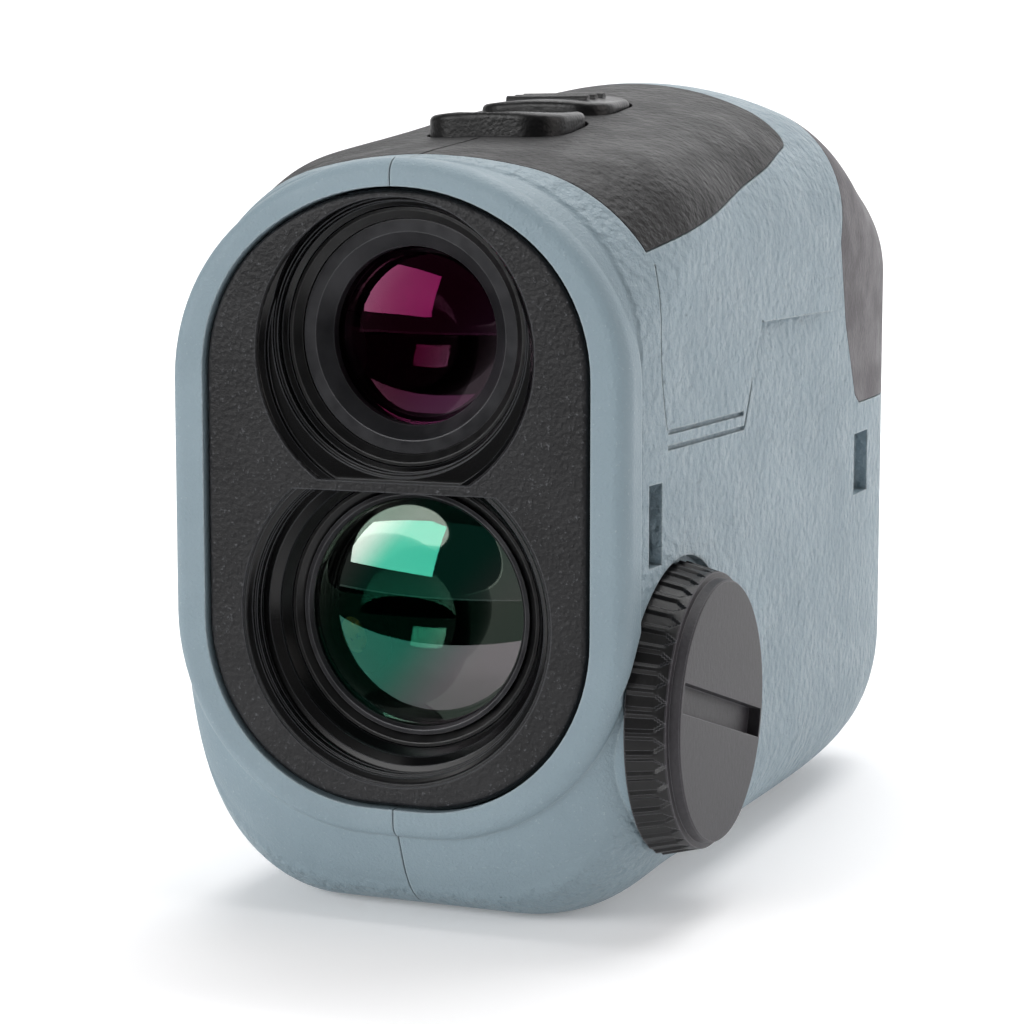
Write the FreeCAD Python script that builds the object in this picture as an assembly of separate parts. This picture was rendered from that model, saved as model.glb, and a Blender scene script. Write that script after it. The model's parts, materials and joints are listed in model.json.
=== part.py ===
import FreeCAD, Part
import math, os

# Handheld laser range and speed finder, modelled as the pieces it comes apart into.
# Millimetres, +Z up. The front faces -Y, the battery cap is on +X and the body
# stands on z = 0. Depths run back from the plane of the front rim.

V = FreeCAD.Vector
os.makedirs("parts", exist_ok=True)

# ---------------------------------------------------------------- driving dimensions
FRONT_Y = -45.0          # y of the front rim plane
FAR = 60.0               # reach of cutting tools that pass right through the body

# Outer body, section by section:
# depth, half width, bottom, top, crown radius, shoulder radius, heel radius
SECTIONS = [
    (0.9, 21.4, 8.6, 68.2, 23.5, 18.5, 18.6),
    (2.4, 21.8, 5.0, 68.42, 28.6, 17.7, 17.2),
    (4.2, 22.0, 2.3, 68.68, 34.8, 16.8, 15.4),
    (7.0, 22.15, 0.6, 69.08, 44.4, 15.3, 13.4),
    (11.0, 22.25, -0.15, 69.6, 58.1, 13.3, 12.3),
    (18.0, 22.3, -0.15, 70.4, 82.0, 9.7, 12.0),
    (30.0, 22.3, -0.15, 72.35, 67.4, 11.05, 12.0),
    (44.0, 22.3, -0.15, 74.75, 50.3, 12.65, 12.0),
    (56.0, 22.3, -0.15, 76.4, 36.0, 14.0, 12.0),
    (67.0, 22.2, -0.15, 76.7, 36.5, 13.2, 12.0),
    (76.0, 21.9, 0.05, 74.2, 37.3, 12.6, 12.0),
    (83.0, 21.4, 0.9, 71.4, 37.8, 12.1, 12.0),
    (88.0, 20.6, 3.4, 69.5, 38.3, 11.8, 12.0),
    (90.8, 19.5, 6.8, 67.4, 38.5, 11.6, 11.5),
    (92.0, 18.4, 9.4, 65.4, 38.6, 11.5, 11.0),
]
FRONT_BLEND = 8.0        # sections nearer the front than this move back when inset
REAR_BLEND = 75.0        # sections behind this move forward when inset
WALL = 2.2
HALF_SEAM = 0.06         # half the hairline gap between the two housing halves

# Front rim and the opening in it: half width, bottom, top, crown, shoulder, heel
RIM = (22.25, 8.1, 68.7, 24.0, 18.6, 19.5)
RIM_LENGTH = 3.4
RIM_ROUND = 1.5
OPENING = (18.8, 10.8, 66.2, 21.0, 15.4, 16.4)

# Front bezel
BEZEL_GAP = 0.14
BEZEL_FRONT = 0.25
BEZEL_BACK = 7.4
BEZEL_ROUND = 0.8
FLANGE_FRONT = 4.6
FLANGE_STEP = 0.6
LIP = 1.2

# Optical axes
UPPER_Z = 52.9
LOWER_Z = 27.9
UPPER_MOUTH_Z = 51.5     # the upper well opens a little below its lens axis
UPPER_FLAT_Z = 40.2      # flat floor of the upper well
LOWER_FLAT_Z = 39.3      # flat roof of the lower well

# Well profiles as (radius, depth)
UPPER_MOUTH = [(13.55, 0.25), (12.85, 0.95), (12.85, 1.5)]
UPPER_WELL = [(12.4, 0.2), (12.4, 1.9), (12.05, 1.9), (12.05, 2.3), (12.35, 2.3), (12.35, 2.7),
              (12.0, 2.7), (11.6, 3.1), (11.6, 7.4)]
LOWER_WELL = [(15.1, 0.25), (15.1, 0.42), (14.85, 0.42), (14.3, 0.75), (14.3, 1.15), (14.05, 1.15),
              (14.05, 1.5), (14.3, 1.5), (14.3, 1.85), (14.0, 1.85), (14.0, 2.2), (14.25, 2.2),
              (14.25, 2.55), (13.6, 2.7), (12.9, 3.5), (12.9, 3.75), (12.3, 4.7), (12.3, 7.4)]

# Lens barrels: outer radius, mouth depth, end depth, rear hole radius
# Glass: radius, edge depth, sphere radius
UPPER_BARREL = (11.5, 3.2, 40.5, 5.9)
LOWER_BARREL = (12.2, 4.75, 46.8, 4.2)
BARREL_WALL = 1.0
UPPER_GLASS = (8.3, 6.2, 34.0)
LOWER_GLASS = (10.7, 5.7, 24.0)
LENS_EDGE = 2.2
# Retaining rings: outer radius, inner radius at the front, inner radius at the glass, front depth
UPPER_RETAINER = (10.45, 9.3, 8.0, 4.0)
LOWER_RETAINER = (11.15, 10.75, 10.45, 5.0)

# Top cover
COVER_CORNER_FRONT = (8.6, 60.4)
COVER_CORNER_REAR = (56.4, 70.2)
COVER_TOP_FRONT = 3.1
COVER_TOP_REAR = 61.5
COVER_THICKNESS = 1.3
COVER_GAP = 0.12
COVER_CORNER_ROUND = 3.0
SKY = 82.0               # above everything on the body

# Keys in the top cover: centre depth, half width, half length, corner radius
FIRE = (26.6, 6.9, 5.6, 3.6)
MODE = (39.0, 6.9, 5.2, 3.4)
FIRE_TOP = (73.1, 73.6)  # height of the key's crown at its front and its rear
MODE_TOP = (74.4, 75.2)
KEY_CROWN = 46.0         # radius of the keys' tops across the body
KEY_CLEARANCE = 0.3
KEY_STEM = 1.8
KEY_FLANGE = 0.6
KEY_HEIGHT = 4.5
FLANGE_THICKNESS = 0.7
STEM_LENGTH = 0.4
KEY_TRAVEL = 0.6
SWITCH_HEIGHT = 1.3
SWITCH_GAP = 0.05
BOARD = 1.4
DISH_R = 44.0
DISH_DEEP = 0.7

# Rear cover, in side view as (depth, height)
REAR_COVER_LINE = [(70.2, 84.0), (66.3, 68.0), (64.6, 60.0), (67.0, 51.3), (71.4, 43.4), (73.4, 42.4),
                   (98.0, 42.4), (98.0, 84.0)]
REAR_GAP = 0.12

# Eyepiece on the upper axis
EYE_Z = 52.9
TUBE_R = 11.6
TUBE_BORE = 10.0
TUBE_FRONT = 71.2
TUBE_END = 100.0
RING_R = 14.6
RING_FRONT = 92.4
RING_END = 98.8
RUNNING = 0.05           # radial clearance of the running fits
RING_GROOVES = 48
CELL_FRONT = 86.4
CELL_END = 97.2
EYE_LENS_R = 8.6
FOCUS_PIN_R = 0.7
FOCUS_TRAVEL = 0.8
FOCUS_ANGLE = 60.0
FOCUS_DEPTH = 95.4
EYECUP_END = 105.0
EYECUP_R = 15.6

# Battery cap and compartment, axis along X
CAP_DEPTH = 14.35
CAP_Z = 19.2
CAP_R = 13.4
CAP_RIM_R = 12.5
CAP_FACE_R = 11.8
CAP_SKIRT_X = 21.5       # inner end of the ribbed skirt that drops over the seat
CAP_BACK_X = 22.6
CAP_COLLAR_X = 25.1
CAP_FACE_X = 26.2
CAP_RIBS = 36
CAP_SEAT_R = 12.6
MOAT_R = 13.9            # recess around the seat for the skirt
PLUG_R = 9.3
PLUG_BORE = 8.5
PLUG_INNER_X = 17.6
SEAL_FRONT_X = 19.2      # O-ring groove on the plug
SEAL_R = 0.75
SLOT_WIDTH = 2.7
SLOT_DEPTH = 1.2
SLOT_END_R = 11.4        # a thin rim closes the slot's ends
SLOT_TILT = 16.0
CELL_R = 8.0
CELL_THICK = 3.2
CELL_INNER_X = 14.4
CUP_R = 9.4
CUP_INNER_X = 13.6
CUP_OUTER_X = 17.2
BOSS_R = 10.9
BOSS_INNER_X = 13.8

# Screws that pull the halves together: (depth, height)
SCREWS = [(30.0, 7.4), (79.0, 12.6), (59.5, 64.0)]
SCREW_HEAD_R = 1.9
SCREW_R = 1.0
SCREW_HEAD_X = -16.6
SCREW_TIP_X = 9.0
BOSS_WALL = 1.5

# Feet on the left half that carry the main board, as (depth, height)
BOARD_X = -17.6
BOARD_FEET = [(32.0, 20.0), (70.0, 36.0)]

# Side windows: (front depth, rear depth, bottom, top)
FRONT_WINDOW = (5.7, 8.8, 33.0, 40.3)
REAR_WINDOW = (71.4, 77.9, 32.4, 39.1)
REAR_WINDOW_DEPTH = 1.4

# Side styling lines
GROOVE_WIDTH = 0.42
GROOVE_DEEP = 0.4
SEAM_WIDTH = 0.2
SEAM_DEEP = 0.25
LEDGE_Z = 53.0
SCOOP_DEEP = 1.0
SCOOP_FOOT_Z = 44.2
SCOOP_FADE = 1.15        # how far the scoop leans outward over its length, so it fades to the rear


# ---------------------------------------------------------------- basic shapes
def at(x, depth, z):
    return V(x, FRONT_Y + depth, z)


def save(name, shape):
    shape.exportStep("parts/" + name + ".step")


def rod_y(radius, front, back, z, x=0.0):
    return Part.makeCylinder(radius, back - front, at(x, front, z), V(0, 1, 0))


def rod_x(radius, x_low, x_high, depth, z):
    return Part.makeCylinder(radius, x_high - x_low, at(x_low, depth, z), V(1, 0, 0))


def rod_z(radius, low, high, x, depth):
    return Part.makeCylinder(radius, high - low, at(x, depth, low))


def block(x_low, x_high, front, back, low, high):
    return Part.makeBox(x_high - x_low, back - front, high - low, at(x_low, front, low))


def turned_y(profile, z):
    """Solid turned about the Y direction at height z from a closed (radius, depth) outline."""
    points = [at(radius, depth, z) for radius, depth in profile]
    face = Part.Face(Part.makePolygon(points + points[:1]))
    return face.revolve(at(0, 0, z), V(0, 1, 0), 360)


def turned_x(profile, depth, z):
    """Solid turned about the X direction from a closed (radius, x) outline."""
    points = [at(x, depth, z + radius) for radius, x in profile]
    face = Part.Face(Part.makePolygon(points + points[:1]))
    return face.revolve(at(0, depth, z), V(1, 0, 0), 360)


def side_prism(outline, x_low, x_high):
    """Side-view outline of (depth, height) points pushed across the body."""
    points = [at(x_low, depth, z) for depth, z in outline]
    face = Part.Face(Part.makePolygon(points + points[:1]))
    return face.extrude(V(x_high - x_low, 0, 0))


def mirrored(shape):
    return shape.mirror(V(0, 0, 0), V(1, 0, 0))


# ---------------------------------------------------------------- body surface
def section(depth, half_width, bottom, top, crown, shoulder, heel):
    """Closed cross-section: flat base, heel arcs, straight sides, shoulder arcs and a crown."""
    centre_x = half_width - shoulder
    centre_z = top - crown + math.sqrt((crown - shoulder) ** 2 - centre_x ** 2)
    lean = math.atan2(centre_z - (top - crown), centre_x)
    tangent = (crown * math.cos(lean), top - crown + crown * math.sin(lean))
    middle = (centre_x + shoulder * math.cos(lean / 2), centre_z + shoulder * math.sin(lean / 2))
    base = half_width - heel
    bulge = heel * math.sqrt(0.5)
    heel_middle = (base + bulge, bottom + heel - bulge)

    def p(x, z):
        return at(x, depth, z)

    edges = [
        Part.LineSegment(p(-base, bottom), p(base, bottom)),
        Part.Arc(p(base, bottom), p(*heel_middle), p(half_width, bottom + heel)),
        Part.LineSegment(p(half_width, bottom + heel), p(half_width, centre_z)),
        Part.Arc(p(half_width, centre_z), p(*middle), p(*tangent)),
        Part.Arc(p(*tangent), p(0, top), p(-tangent[0], tangent[1])),
        Part.Arc(p(-tangent[0], tangent[1]), p(-middle[0], middle[1]), p(-half_width, centre_z)),
        Part.LineSegment(p(-half_width, centre_z), p(-half_width, bottom + heel)),
        Part.Arc(p(-half_width, bottom + heel), p(-heel_middle[0], heel_middle[1]), p(-base, bottom)),
    ]
    return Part.Wire([edge.toShape() for edge in edges])


def inset_depth(depth, inset):
    if depth < FRONT_BLEND:
        return depth + inset * (1 - depth / FRONT_BLEND)
    if depth > REAR_BLEND:
        return depth - inset * (depth - REAR_BLEND) / (SECTIONS[-1][0] - REAR_BLEND)
    return depth


def body(inset):
    """The outer body pulled in by inset all round."""
    wires = []
    for depth, half_width, bottom, top, crown, shoulder, heel in SECTIONS:
        wires.append(section(inset_depth(depth, inset), half_width - inset, bottom + inset,
                             top - inset, crown - inset, shoulder - inset, heel - inset))
    return Part.makeLoft(wires, True, False)


def slab(outline, grow, front, back):
    """Straight slab with the rim's kind of outline, grown or shrunk by grow."""
    half_width, bottom, top, crown, shoulder, heel = outline
    wire = section(front, half_width + grow, bottom - grow, top + grow,
                   crown + grow, shoulder + grow, heel + grow)
    return Part.Face(wire).extrude(V(0, back - front, 0))


def edges_in_plane(shape, depth):
    y = FRONT_Y + depth
    return [e for e in shape.Edges if abs(e.BoundBox.YMin - y) < 1e-4 and abs(e.BoundBox.YMax - y) < 1e-4]


# ---------------------------------------------------------------- housing halves
def rim():
    ring = slab(RIM, 0, 0, RIM_LENGTH)
    ring = ring.makeFillet(RIM_ROUND, edges_in_plane(ring, 0))
    hole = slab(OPENING, 0, -1, RIM_LENGTH + 1)
    return ring.cut(hole)


def cover_region(gap):
    """Side-view region of the top cover, shrunk by gap."""
    outline = [(COVER_TOP_FRONT, SKY), COVER_CORNER_FRONT, COVER_CORNER_REAR, (COVER_TOP_REAR, SKY)]
    points = [at(-FAR / 2, depth, z) for depth, z in outline]
    wire = Part.makePolygon(points + points[:1])
    if gap:
        wire = wire.makeOffset2D(-gap, 2)
    region = Part.Face(wire).extrude(V(FAR, 0, 0))
    corner = [e for e in region.Edges
              if e.BoundBox.XLength > FAR / 2 and abs(e.BoundBox.ZMin - COVER_CORNER_REAR[1]) < 1]
    return region.makeFillet(COVER_CORNER_ROUND, corner)


def rear_region(gap):
    outline = REAR_COVER_LINE
    points = [at(-FAR / 2, depth, z) for depth, z in outline]
    wire = Part.makePolygon(points + points[:1])
    if gap:
        wire = wire.makeOffset2D(-gap, 2)
    return Part.Face(wire).extrude(V(FAR, 0, 0))


def window(box, x_low, x_high):
    front, back, low, high = box
    return block(x_low, x_high, front, back, low, high)


def groove(start, end):
    """Straight styling groove on the +X side between two (depth, height) points."""
    along = V(0, end[0] - start[0], end[1] - start[1])
    along.normalize()
    across = V(0, -along.z, along.y) * (GROOVE_WIDTH / 2)
    a = at(FAR / 4, *start)
    b = at(FAR / 4, *end)
    face = Part.Face(Part.makePolygon([a + across, b + across, b - across, a - across, a + across]))
    return face.extrude(V(FAR / 4, 0, 0)).cut(body(GROOVE_DEEP))


def seam_groove():
    """Fine curved line from the cover's front corner down to the double groove."""
    edges = []
    points = [(9.2, 59.4), (8.3, 52.6), (10.0, 44.8)]
    for side in (-1, 1):
        shift = side * SEAM_WIDTH / 2
        edges.append([at(FAR / 4, depth + shift, z) for depth, z in points])
    left, right = edges
    wire = Part.Wire([Part.Arc(*left).toShape(), Part.makeLine(left[2], right[2]),
                      Part.Arc(*right[::-1]).toShape(), Part.makeLine(right[0], left[0])])
    return Part.Face(wire).extrude(V(FAR / 4, 0, 0)).cut(body(SEAM_DEEP))


def thumb_scoop():
    """Wedge cut under the side ledge, deepest at its top front corner."""
    wedge = [V(30.0, 0, LEDGE_Z), V(22.3 - SCOOP_DEEP, 0, LEDGE_Z), V(22.5, 0, SCOOP_FOOT_Z),
             V(30.0, 0, SCOOP_FOOT_Z)]
    face = Part.Face(Part.makePolygon(wedge + wedge[:1]))
    face.translate(at(0, 30.0, 0))
    scoop = face.extrude(V(SCOOP_FADE, 40.0, 0))
    limit = side_prism([(32.2, 44.0), (37.4, 53.4), (70.0, 53.4), (70.0, 44.0)], 15, 35)
    return scoop.common(limit)


def side_cuts():
    """All cuts on the +X side; the -X side takes their mirror images."""
    shallow = body(REAR_WINDOW_DEPTH)
    return [
        groove((10.2, 44.6), (31.6, 44.6)),
        groove((10.2, 43.2), (31.8, 43.2)),
        groove((31.8, 43.2), (37.4, 53.2)),
        seam_groove(),
        thumb_scoop(),
        window(FRONT_WINDOW, 15, FAR),
        window(REAR_WINDOW, 15, FAR).cut(shallow),
    ]


def screw_post(depth, z):
    """Posts on both halves, open for the screw."""
    radius = SCREW_R + BOSS_WALL
    left = rod_x(SCREW_HEAD_R + BOSS_WALL, -22.3, -HALF_SEAM, depth, z)
    right = rod_x(radius, HALF_SEAM, 22.3, depth, z)
    return left, right


def shell():
    """The whole hollow housing before it is split: rim, openings and the flat seat for the cap."""
    cavity = body(WALL)
    seat = rod_x(CAP_SEAT_R, 16.0, 22.3, CAP_DEPTH, CAP_Z)
    lip = slab(OPENING, LIP, RIM_LENGTH / 2, FLANGE_FRONT)
    hollow = body(0).fuse([rim(), seat]).cut(cavity).fuse(lip)
    hollow = hollow.cut(slab(OPENING, 0, -1, FLANGE_FRONT + 0.1))
    moat = rod_x(MOAT_R, CAP_SKIRT_X - 0.2, FAR, CAP_DEPTH, CAP_Z)
    hollow = hollow.cut(moat.cut(rod_x(CAP_SEAT_R, 0, 22.3, CAP_DEPTH, CAP_Z)))
    hollow = hollow.cut(cover_region(0).cut(body(COVER_THICKNESS)))
    hollow = hollow.cut(rear_region(0))
    hollow = hollow.cut(rod_y(TUBE_R, TUBE_FRONT, TUBE_END, EYE_Z))
    hollow = hollow.cut([key_opening(FIRE, KEY_FLANGE), key_opening(MODE, KEY_FLANGE)])
    return hollow.cut(block(-FAR, FAR, -FAR, 2 * FAR, -FAR, 0))


def housings():
    whole = shell()
    inside = body(WALL / 2)
    posts = [screw_post(depth, z) for depth, z in SCREWS]
    boss = rod_x(BOSS_R, BOSS_INNER_X, 21.8, CAP_DEPTH, CAP_Z).common(inside)
    feet = [rod_x(1.4, -22.0, BOARD_X, depth, z).common(inside) for depth, z in BOARD_FEET]

    right = whole.common(block(HALF_SEAM, FAR, -FAR, 2 * FAR, -FAR, 2 * FAR))
    right = right.fuse([post.common(inside) for _, post in posts] + [boss])
    right = right.cut(rod_x(PLUG_R + RUNNING, CUP_OUTER_X, FAR, CAP_DEPTH, CAP_Z))
    right = right.cut(rod_x(CUP_R, 0, CUP_OUTER_X, CAP_DEPTH, CAP_Z))
    right = right.cut([rod_x(SCREW_R, -1, SCREW_TIP_X + 0.5, d, z) for d, z in SCREWS])

    left = whole.common(block(-FAR, -HALF_SEAM, -FAR, 2 * FAR, -FAR, 2 * FAR))
    left = left.fuse([post.common(inside) for post, _ in posts] + feet)
    left = left.cut([rod_x(SCREW_HEAD_R + 0.15, -FAR, SCREW_HEAD_X, d, z) for d, z in SCREWS])
    left = left.cut([rod_x(SCREW_R + 0.1, -FAR, 1, d, z) for d, z in SCREWS])

    cuts = side_cuts()
    return right.cut(cuts), left.cut([mirrored(cut) for cut in cuts])


# ---------------------------------------------------------------- front bezel and optics
def well(profile, z):
    """Cutter for a lens well: the turned space in front of and inside the profile."""
    front = (profile[0][0], -1.0)
    outline = [(0, -1.0), front] + profile + [(0, profile[-1][1])]
    return turned_y(outline, z)


def front_bezel():
    plate = slab(OPENING, -BEZEL_GAP, BEZEL_FRONT, BEZEL_BACK)
    plate = plate.makeFillet(BEZEL_ROUND, edges_in_plane(plate, BEZEL_FRONT))
    plate = plate.fuse(slab(OPENING, FLANGE_STEP, FLANGE_FRONT, BEZEL_BACK))
    upper = well(UPPER_MOUTH, UPPER_MOUTH_Z).fuse(well(UPPER_WELL, UPPER_Z))
    upper = upper.common(block(-FAR, FAR, -5, 20, UPPER_FLAT_Z, SKY))
    lower = well(LOWER_WELL, LOWER_Z)
    lower = lower.common(block(-FAR, FAR, -5, 20, -5, LOWER_FLAT_Z))
    pocket = rod_x(BOSS_R + 0.3, BOSS_INNER_X - 0.5, FAR, CAP_DEPTH, CAP_Z)
    return plate.cut([upper, lower, pocket])


def lens_barrel(z, barrel, glass, retainer):
    """Tube with a bevelled mouth, a bore for the retaining ring, a lens seat and a rear stop."""
    outer, mouth, end, hole = barrel
    lens_r, edge_depth, sphere = glass
    ring_r = retainer[0] + 0.05
    bore = outer - BARREL_WALL - 0.6
    seat_back = edge_depth + LENS_EDGE
    profile = [
        (outer, mouth), (outer, end), (hole, end), (hole, end - 1.2),
        (bore, end - 1.2), (bore, seat_back + 3.0), (lens_r - 0.8, seat_back + 3.0),
        (lens_r - 0.8, seat_back), (lens_r + 0.05, seat_back), (lens_r + 0.05, edge_depth),
        (ring_r, edge_depth), (ring_r, mouth + 0.6), (outer - 0.3, mouth),
    ]
    flat = block(-FAR, FAR, 0, BEZEL_BACK + 0.1, LOWER_FLAT_Z, UPPER_FLAT_Z)
    return turned_y(profile, z).cut(flat)


def lens(z, glass):
    """Plano-convex glass with its curved face to the front and a straight ground edge."""
    radius, edge_depth, sphere = glass
    sag = sphere - math.sqrt(sphere ** 2 - radius ** 2)
    ball = Part.makeSphere(sphere, at(0, edge_depth - sag + sphere, z))
    return rod_y(radius, edge_depth - sag, edge_depth + LENS_EDGE, z).common(ball)


def retaining_ring(z, glass, retainer):
    """Ring with a conical bore that clamps the glass."""
    outer, mouth_r, glass_r, front = retainer
    lens_r, back, sphere = glass
    rise = math.sqrt(sphere ** 2 - glass_r ** 2) - math.sqrt(sphere ** 2 - lens_r ** 2)
    middle = (front + back) / 2
    return turned_y([(glass_r, back - rise), (lens_r, back), (outer, back), (outer, front),
                     (mouth_r, front), (glass_r, middle)], z)


# ---------------------------------------------------------------- top cover and keys
def rounded_block(centre_depth, half_width, half_length, radius, low, high):
    key = block(-half_width, half_width, centre_depth - half_length, centre_depth + half_length, low, high)
    upright = [e for e in key.Edges if e.BoundBox.ZLength > (high - low) / 2]
    return key.makeFillet(radius, upright)


def key_opening(spec, grow):
    depth, half_width, half_length, radius = spec
    grow += KEY_CLEARANCE
    return rounded_block(depth, half_width + grow, half_length + grow, radius + grow, 50, SKY)


def top_cover():
    shell = body(0).cut(body(COVER_THICKNESS))
    cover = shell.common(cover_region(COVER_GAP))
    seam = block(-0.15, 0.15, 0, FIRE[0] - FIRE[2] - 1.4, 60, SKY).cut(body(0.3))
    return cover.cut([key_opening(FIRE, 0), key_opening(MODE, 0), seam])


def key_roof(spec, tops):
    """Everything below the key's crowned, slightly sloping top."""
    depth, half_width, half_length, radius = spec
    front, rear = tops
    slope = math.degrees(math.atan2(rear - front, 2 * half_length))
    middle = (front + rear) / 2
    roof = rod_y(KEY_CROWN, depth - FAR, depth + FAR, middle - KEY_CROWN)
    roof.rotate(at(0, depth, middle), V(1, 0, 0), slope)
    return roof


def stem_foot(tops):
    return sum(tops) / 2 - KEY_HEIGHT - FLANGE_THICKNESS - STEM_LENGTH


def key(spec, tops):
    """A key with a rounded top edge, a catch flange under the cover and a stem for its switch."""
    depth, half_width, half_length, radius = spec
    top = (tops[0] + tops[1]) / 2
    base = top - KEY_HEIGHT
    cap = rounded_block(depth, half_width, half_length, radius, base, SKY).common(key_roof(spec, tops))
    cap = cap.makeFillet(0.6, [e for e in cap.Edges if e.BoundBox.ZMin > base + 0.5 and e.BoundBox.ZLength < 2.5])
    flange = rounded_block(depth, half_width + KEY_FLANGE, half_length + KEY_FLANGE,
                           radius + KEY_FLANGE, base - FLANGE_THICKNESS, base)
    stem = rod_z(KEY_STEM, stem_foot(tops), base, 0, depth)
    return cap.fuse([flange, stem])


def fire_button():
    depth = FIRE[0]
    top = sum(FIRE_TOP) / 2
    dish = Part.makeSphere(DISH_R, at(0, depth, top + DISH_R - DISH_DEEP))
    return key(FIRE, FIRE_TOP).cut(dish)


def mode_button():
    """The rear key carries three raised finger ridges."""
    depth, half_width, half_length, radius = MODE
    plain = key(MODE, MODE_TOP)
    ridges = []
    for step in (-1, 0, 1):
        middle = depth + step * 2.2
        ridge = rod_x(0.45, -half_width + 2.6, half_width - 2.6, middle, sum(MODE_TOP) / 2 - 0.12)
        ridges.append(ridge)
    slope = math.degrees(math.atan2(MODE_TOP[1] - MODE_TOP[0], 2 * half_length))
    for ridge in ridges:
        ridge.rotate(at(0, depth, sum(MODE_TOP) / 2), V(1, 0, 0), slope)
    return plain.fuse(ridges)


# ---------------------------------------------------------------- rear cover and eyepiece
def rear_cover():
    shell = body(0).cut(body(WALL))
    cover = shell.common(rear_region(REAR_GAP))
    return cover.cut(rod_y(TUBE_R, TUBE_FRONT, TUBE_END, EYE_Z))


def eyepiece_tube():
    profile = [(TUBE_BORE, TUBE_FRONT), (TUBE_R, TUBE_FRONT), (TUBE_R, TUBE_END), (TUBE_BORE, TUBE_END)]
    tube = turned_y(profile, EYE_Z)
    slot = block(-FOCUS_PIN_R - RUNNING, FOCUS_PIN_R + RUNNING, FOCUS_DEPTH - FOCUS_TRAVEL - FOCUS_PIN_R - 0.3,
                 FOCUS_DEPTH + FOCUS_TRAVEL + FOCUS_PIN_R + 0.3, EYE_Z, EYE_Z + RING_R)
    return tube.cut(slot)


def helical_groove():
    """Cutter for the focusing groove inside the ring: overlapping rods along a helix."""
    steps = 26
    rods = []
    for step in range(steps + 1):
        angle = -FOCUS_ANGLE - 6 + step * (2 * FOCUS_ANGLE + 12) / steps
        shift = FOCUS_TRAVEL * angle / FOCUS_ANGLE
        rod = rod_z(FOCUS_PIN_R + 0.2, EYE_Z + TUBE_BORE, EYE_Z + RING_R - 1.2, 0, FOCUS_DEPTH + shift)
        rod.rotate(at(0, 0, EYE_Z), V(0, 1, 0), angle)
        rods.append(rod)
    return rods


def diopter_ring():
    bore = TUBE_R + RUNNING
    profile = [(bore, RING_FRONT), (RING_R - 0.5, RING_FRONT), (RING_R, RING_FRONT + 0.5),
               (RING_R, RING_END - 0.5), (RING_R - 0.5, RING_END), (bore, RING_END)]
    ring = turned_y(profile, EYE_Z)
    flutes = []
    for count in range(RING_GROOVES):
        flute = block(-0.3, 0.3, RING_FRONT + 1.0, RING_END - 1.0, EYE_Z + RING_R - 0.4, EYE_Z + RING_R + 1)
        flute.rotate(at(0, 0, EYE_Z), V(0, 1, 0), count * 360 / RING_GROOVES)
        flutes.append(flute)
    return ring.cut(flutes + helical_groove())


def eyecup():
    """Rubber cup on the ring: a sleeve, a flared skirt and a rolled lip."""
    back = EYECUP_END
    profile = [(TUBE_R + 0.4, RING_END), (RING_R - 0.6, RING_END), (RING_R - 0.6, back - 3.4),
               (EYECUP_R, back - 1.6), (EYECUP_R, back - 0.5), (EYECUP_R - 0.6, back),
               (EYECUP_R - 2.2, back), (EYECUP_R - 2.9, back - 0.7), (TUBE_R + 0.4, back - 3.6)]
    return turned_y(profile, EYE_Z)


def eye_lens_cell():
    outer = TUBE_BORE - RUNNING
    inner = EYE_LENS_R - 1.0
    seat = EYE_LENS_R
    profile = [(inner, CELL_FRONT), (outer, CELL_FRONT), (outer, CELL_END), (seat, CELL_END),
               (seat, CELL_END - 5.2), (inner, CELL_END - 5.2)]
    return turned_y(profile, EYE_Z)


def eye_lens():
    """Biconvex eye lens."""
    middle = CELL_END - 3.4
    thickness = 3.4
    sphere = 26.0
    near = Part.makeSphere(sphere, at(0, middle - thickness / 2 + sphere, EYE_Z))
    far = Part.makeSphere(sphere, at(0, middle + thickness / 2 - sphere, EYE_Z))
    return rod_y(EYE_LENS_R, middle - 3, middle + 3, EYE_Z).common(near).common(far)


def focus_pin():
    return rod_z(FOCUS_PIN_R, EYE_Z + TUBE_BORE - RUNNING, EYE_Z + RING_R - 1.5, 0, FOCUS_DEPTH)


# ---------------------------------------------------------------- battery cap and compartment
def battery_cap():
    """Coin-slot cap: a ribbed cone, a smooth collar, a flat face and a hollow threaded plug."""
    groove_back = SEAL_FRONT_X + 2 * SEAL_R
    groove_r = PLUG_R - 0.7
    profile = [(0, CAP_BACK_X), (PLUG_BORE, CAP_BACK_X), (PLUG_BORE, PLUG_INNER_X), (PLUG_R, PLUG_INNER_X),
               (PLUG_R, SEAL_FRONT_X), (groove_r, SEAL_FRONT_X), (groove_r, groove_back), (PLUG_R, groove_back),
               (PLUG_R, CAP_BACK_X), (CAP_SEAT_R + 0.15, CAP_BACK_X), (CAP_SEAT_R + 0.15, CAP_SKIRT_X),
               (CAP_R - 0.15, CAP_SKIRT_X), (CAP_R, CAP_SKIRT_X + 0.15),
               (CAP_RIM_R, CAP_COLLAR_X), (CAP_FACE_R + 0.15, CAP_COLLAR_X + 0.1),
               (CAP_FACE_R, CAP_FACE_X - 0.12), (CAP_FACE_R - 0.12, CAP_FACE_X), (0, CAP_FACE_X)]
    cap = turned_x(profile, CAP_DEPTH, CAP_Z)
    slot = block(CAP_FACE_X - SLOT_DEPTH, CAP_FACE_X + 1, CAP_DEPTH - FAR / 4, CAP_DEPTH + FAR / 4,
                 CAP_Z - SLOT_WIDTH / 2, CAP_Z + SLOT_WIDTH / 2)
    slot.rotate(at(0, CAP_DEPTH, CAP_Z), V(1, 0, 0), -SLOT_TILT)
    slot = slot.common(rod_x(SLOT_END_R, CAP_FACE_X - SLOT_DEPTH, CAP_FACE_X + 1, CAP_DEPTH, CAP_Z))
    return cap.cut([slot] + cap_notches())


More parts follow.
